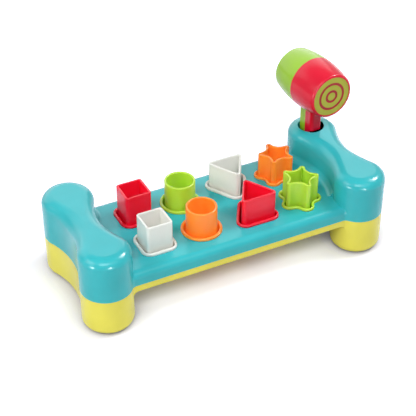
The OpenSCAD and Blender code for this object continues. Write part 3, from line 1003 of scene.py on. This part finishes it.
@dataclass
class StrikePads:
    """The two striking discs of the hammer, with ring grooves."""

    middle: Vector
    turn: float
    half_len: float = 37.2 * MM
    sink: float = 0.4 * MM
    radius: float = 23.4 * MM
    thick: float = 3.0 * MM
    groove_depth: float = 0.6 * MM
    groove_w: float = 3.0 * MM
    grooves: tuple[float, float] = (15.3 * MM, 6.4 * MM)
    edge: float = 0.35 * MM
    edge_steps: int = 3
    steps: int = 128
    slack: float = 0.01 * MM
    ring_margin: float = 1.8 * MM
    ring_depth: float = 0.9 * MM

    def model(self) -> bpy.types.Object:
        """Models a disc whose face lies at height zero and points up.

        Returns:
            The disc, with the groove faces on its second material slot.
        """
        Shop.clear()
        bpy.ops.mesh.primitive_cylinder_add(
            vertices=self.steps, radius=self.radius, depth=self.thick,
            location=(0, 0, -self.thick / 2))
        Shop.bake_place()
        Shop.edit()
        Shop.pick(Kind.FACE, looks_up)
        at = self.radius
        for middle in self.grooves:
            for edge in (middle + self.groove_w / 2, middle - self.groove_w / 2):
                bpy.ops.mesh.inset(thickness=at - edge)
                at = edge
        Shop.pick(Kind.FACE, self.in_groove)
        Shop.raise_by(-self.groove_depth)
        Shop.outwards()
        Shop.pick(Kind.EDGE, self.on_rim)
        Shop.round_edges(self.edge, self.edge_steps)
        piece = Shop.done()
        outer = self.grooves[0] + self.ring_margin
        for face in piece.data.polygons:
            off = math.hypot(face.center.x, face.center.y)
            if off < outer and -self.ring_depth < face.center.z < -self.slack:
                face.material_index = 1
        Shop.smooth(piece)
        return piece

    def in_groove(self, face: bmesh.types.BMFace) -> bool:
        """Tells a face of a groove by its distance from the middle.

        Args:
            face: The face.

        Returns:
            Whether it lies on top and in a groove.
        """
        spot = face.calc_center_median()
        off = math.hypot(spot.x, spot.y)
        return spot.z > -WELD and any(abs(off - g) < self.groove_w / 2 for g in self.grooves)

    def on_rim(self, edge: bmesh.types.BMEdge) -> bool:
        """Tells an edge of the disc's upper rim.

        Args:
            edge: The edge.

        Returns:
            Whether it is a corner, on top and as far out as the disc reaches.
        """
        return is_corner(edge) and all(
            v.co.z > -WELD and math.hypot(v.co.x, v.co.y) > self.radius - self.slack
            for v in edge.verts)

    def spot(self, side: float) -> Matrix:
        """Where a disc sits.

        Args:
            side: 1 at the red end, -1 at the far end.

        Returns:
            Its place, with its face outwards.
        """
        out = (Matrix.Rotation(math.radians(self.turn), 4, "Z")
               @ Matrix.Rotation(math.radians(90 * side), 4, "X"))
        along = Matrix.Translation((0, 0, self.half_len - self.sink))
        return Matrix.Translation(self.middle) @ out @ along

    def build(self) -> None:
        """Models a disc once and copies it to both ends of the head."""
        disc = self.model()
        for node, side, paints in (("strike_pad_lime", 1, (Paint.LIME_PAD, Paint.RED_RING)),
                                   ("strike_pad_red", -1, (Paint.RED_PAD, Paint.LIME_RING))):
            pad = Shop.copy(disc, f"{node}_disc")
            index = [f.material_index for f in pad.data.polygons]
            Shop.place(pad, self.spot(side))
            settle(pad, "hammer", [node], paints)
            pad.data.polygons.foreach_set("material_index", index)
        bpy.data.objects.remove(disc)


@dataclass
class Screws:
    """Pan-head screws with a cross recess."""

    head_r: float = 3.0 * MM
    head_h: float = 2.0 * MM
    shank_r: float = 1.5 * MM
    slot_w: float = 0.9 * MM
    slot_len: float = 3.6 * MM
    slot_depth: float = 1.1 * MM
    round_r: float = 0.7 * MM
    round_steps: int = 5
    steps: int = 48

    def model(self, length: float) -> bpy.types.Object:
        """Models a screw along +Z, with the underside of its head at height zero.

        Args:
            length: Length of its shank.

        Returns:
            The screw.
        """
        Shop.clear()
        bpy.ops.mesh.primitive_cylinder_add(
            vertices=self.steps, radius=self.head_r, depth=self.head_h,
            location=(0, 0, -self.head_h / 2))
        piece = bpy.context.object
        Shop.bake_place()
        Shop.edit()
        Shop.pick(Kind.FACE, looks_up)
        bpy.ops.mesh.inset(thickness=self.head_r - self.shank_r)
        Shop.raise_by(length)
        Shop.pick(Kind.EDGE, lambda e: max(v.co.z for v in e.verts) < -self.head_h + WELD)
        Shop.round_edges(self.round_r, self.round_steps)
        Shop.done()
        for turned in (0, 90):
            Shop.clear()
            bpy.ops.mesh.primitive_cube_add(size=1, location=(0, 0, -self.head_h))
            cutter = bpy.context.object
            cutter.scale = (self.slot_len, self.slot_w, 2 * self.slot_depth)
            cutter.rotation_euler.z = math.radians(turned)
            Shop.bake_place()
            Shop.apply(piece, "BOOLEAN", operation="DIFFERENCE", object=cutter, solver="EXACT")
            bpy.data.objects.remove(cutter)
        Shop.smooth(piece)
        return piece

    def build(self, node: str, body: str, length: float, places: list[Matrix]) -> None:
        """Models a screw once, copies it to its places and joins the copies.

        Args:
            node: The node of the screws.
            body: The body that carries them.
            length: Length of the shanks.
            places: Where they sit.
        """
        first = self.model(length)
        copies = []
        for k, place in enumerate(places):
            twin = Shop.copy(first, f"{node}_{k}")
            Shop.place(twin, place)
            copies.append(twin)
        bpy.data.objects.remove(first)
        joined = Shop.join(copies, f"{node}_turned")
        Shop.smooth(joined)
        settle(joined, body, [node], [Paint.STEEL])


@dataclass(frozen=True)
class Lamp:
    """One soft box of the studio, which may show in the gloss alone."""

    name: str
    spot: tuple[float, float, float]
    size: tuple[float, float]
    watts: float
    gloss_only: bool = False

    def hang(self, aim: Vector) -> None:
        """Hangs the lamp and points it.

        Args:
            aim: Where it points.
        """
        data = bpy.data.lights.new(self.name, "AREA")
        data.shape = "RECTANGLE"
        data.size, data.size_y = self.size
        data.energy = self.watts
        lamp = bpy.data.objects.new(self.name, data)
        lamp.location = self.spot
        lamp.rotation_euler = (aim - Vector(self.spot)).to_track_quat("-Z", "Y").to_euler()
        lamp.visible_diffuse = not self.gloss_only
        bpy.context.scene.collection.objects.link(lamp)


@dataclass
class Studio:
    """White backdrop, pale floor, soft light, and the camera at the photograph's place."""

    middle: Vector
    azimuth: float = -26.615
    elevation: float = 36.465
    distance: float = 1.347
    right_by: float = -8.206 * MM
    up_by: float = 49.22 * MM
    lens: float = 103.35
    sensor: float = 36.0
    clip: tuple[float, float] = (0.01, 100.0)
    white: Colour = (1.0, 1.0, 1.0)
    ambient: float = 0.06
    floor_size: float = 14.0
    floor_drop: float = 0.05 * MM
    floor_roughness: float = 0.9
    floor_tone: float = 0.7
    floor_shown: Colour = (0.64, 0.645, 0.69)
    # Faint bluish glow of the floor near the object: painted light that tints its shade. Away
    # from the object the glow fades up to white.
    painted_shade_glow: Colour = (0.025, 0.035, 0.085)
    fade_span: tuple[float, float] = (0.3, 0.9)
    # Occlusion within this reach darkens the floor toward the contact tone: a painted shadow
    # around and under the object.
    contact_reach: float = 38.0 * MM
    contact_span: tuple[float, float] = (0.05, 1.0)
    painted_contact_shade: Colour = (0.1, 0.085, 0.086)
    contact_samples: int = 16
    aim_h: float = 60.0 * MM
    lamps: tuple[Lamp, ...] = (
        Lamp("back_sheen", (0.0, 1.4, 0.85), (3.0, 1.4), 24.0, gloss_only=True),
        Lamp("left_box", (-1.4, 0.0, 1.0), (0.9, 0.9), 12.0),
        Lamp("right_box", (1.08, -0.1, 1.31), (0.6, 0.6), 13.0),
        Lamp("camera_box", (-0.6, -1.02, 1.35), (0.9, 0.7), 16.5),
        Lamp("front_box", (0.3, -1.1, 1.4), (0.9, 0.7), 4.0),
        Lamp("key_right", (1.13, -0.02, 1.15), (0.32, 0.32), 20.0, gloss_only=True),
        Lamp("low_front", (-0.15, -1.6, 0.2), (0.34, 0.28), 16.0, gloss_only=True),
        Lamp("low_left", (-1.5, -0.52, 0.12), (0.3, 0.28), 13.0, gloss_only=True),
    )

    def camera(self) -> None:
        """Sets the camera up where the photograph was taken from."""
        a, e = math.radians(self.azimuth), math.radians(self.elevation)
        back = Vector((math.sin(a) * math.cos(e), -math.cos(a) * math.cos(e), math.sin(e)))
        right = Vector((math.cos(a), math.sin(a), 0.0))
        up = back.cross(right)
        at = self.middle + back * self.distance + right * self.right_by + up * self.up_by
        data = bpy.data.cameras.new("photo_camera")
        data.sensor_width, data.lens = self.sensor, self.lens
        data.clip_start, data.clip_end = self.clip
        camera = bpy.data.objects.new("photo_camera", data)
        turn = Matrix((right, up, back)).transposed().to_4x4()
        camera.matrix_world = Matrix.Translation(at) @ turn
        bpy.context.scene.collection.objects.link(camera)
        bpy.context.scene.camera = camera

    def world(self) -> None:
        """Gives the studio an even, faint light and a white backdrop."""
        world = bpy.data.worlds.new("studio")
        bpy.context.scene.world = world
        nodes = Nodes(world)
        white = (*self.white, 1.0)
        soft = nodes.feed_named("Background", {"Color": white, "Strength": self.ambient})
        backdrop = nodes.add("Background", {"Color": white})
        nodes.show("World Output", soft.outputs[0], backdrop.outputs[0])

    def floor(self) -> None:
        """Lays a pale matt floor that keeps the object's shadow and is white away from it; near
        the object a painted contact shadow, from occlusion, darkens it, and a faint painted
        bluish glow tints that shade.
        """
        Shop.clear()
        bpy.ops.mesh.primitive_plane_add(size=self.floor_size, location=(0, 0, -self.floor_drop))
        plane = bpy.context.object
        plane.name = "studio_floor"
        made = bpy.data.materials.new("pale_floor")
        nodes = Nodes(made)
        tone = self.floor_tone
        lit = nodes.feed_named("Principled BSDF", {
            "Base Color": (tone, tone, tone, 1.0), "Roughness": self.floor_roughness,
            "Specular IOR Level": 0.0})
        # Painted contact shadow: the floor's shown colour darkens where occlusion finds the
        # object close by.
        occlusion_shade = nodes.add("AmbientOcclusion", {"Distance": self.contact_reach},
                         samples=self.contact_samples)
        tones = nodes.ramp(occlusion_shade.outputs["AO"], self.painted_contact_shade, self.floor_shown,
                           self.contact_span)
        shown = nodes.add("BsdfDiffuse", {"Color": tones}).outputs[0]
        # Glow by distance: painted bluish light in the shade near the object, white backdrop
        # farther out.
        away = nodes.add("VectorMath", {0: nodes.place()}, operation="LENGTH")
        fade = nodes.spread(away.outputs["Value"], 0.0, 1.0, self.fade_span, soft=True)
        glow = nodes.add("Emission", {"Color": nodes.ramp(fade, self.painted_shade_glow, self.white)})
        seen = nodes.both(nodes.both(shown, shown), glow.outputs[0])
        nodes.show("Material Output", lit.outputs[0], seen)
        plane.data.materials.append(made)

    def build(self) -> None:
        """Builds the studio round the object."""
        bpy.context.scene.view_settings.view_transform = "Standard"
        self.world()
        self.floor()
        for lamp in self.lamps:
            lamp.hang(self.middle + Vector((0, 0, self.aim_h)))
        self.camera()


@dataclass(frozen=True)
class HammerPlace:
    """Where the hammer stands and how its screws sit in it."""

    across: float = 148.1 * MM
    back: float = 51.0 * MM
    head_z: float = 155.0 * MM
    turn: float = 4.0
    screw_heights: tuple[float, float] = (44.0 * MM, 110.0 * MM)
    screw_depth: float = 8.0 * MM
    screw_len: float = 14.0 * MM

    def screws(self, middle: Vector) -> list[Matrix]:
        """Places of the hammer's screws.

        Args:
            middle: Middle of the bench in plan.

        Returns:
            One place for each screw, which points from the green half into the red one.
        """
        turn = Matrix.Rotation(math.radians(self.turn), 4, "Z")
        point = Matrix.Rotation(math.radians(90), 4, "X")
        at = middle + Vector((self.across, self.back, 0))
        return [Matrix.Translation(at + Vector((0, 0, z))) @ turn
                @ Matrix.Translation((0, self.screw_depth, 0)) @ point
                for z in self.screw_heights]


@dataclass(frozen=True)
class BaseScrewPlaces:
    """Where the screws sit in the underside of the base."""

    xs: tuple[float, float, float] = (-115.0 * MM, 0.9 * MM, 115.0 * MM)
    y: float = 54.0 * MM
    z: float = 42.1 * MM
    length: float = 11.5 * MM

    def places(self, middle: Vector) -> list[Matrix]:
        """Gives one place for each screw, about the middle of the bench in plan."""
        return [Matrix.Translation(middle + Vector((x, side * self.y, self.z)))
                for x in self.xs for side in (-1, 1)]


def main() -> None:
    """Builds the studio and every piece."""
    logging.basicConfig(level=logging.INFO, format="%(name)s %(message)s")
    low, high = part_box("base_tray")
    middle = Vector(((low.x + high.x) / 2, (low.y + high.y) / 2, 0.0))
    Studio(middle).build()
    for moulding in (
            BenchShell("top_shell", "bench_shell", "bench", Paint.TURQUOISE, middle=middle),
            Moulding("base_tray", "bench_base", "bench", Paint.YELLOW),
            Moulding("hammer_half_red", "hammer_front", "hammer", Paint.RED),
            Moulding("hammer_half_green", "hammer_back", "hammer", Paint.LIME)):
        moulding.build()
    PegSet(middle=middle).build()
    hammer = HammerPlace()
    head = middle + Vector((hammer.across, hammer.back, hammer.head_z))
    StrikePads(head, hammer.turn).build()
    Screws().build("hammer_screws", "hammer", hammer.screw_len, hammer.screws(middle))
    base = BaseScrewPlaces()
    Screws().build("base_screws", "bench", base.length, base.places(middle))


if __name__ == "__main__":
    main()
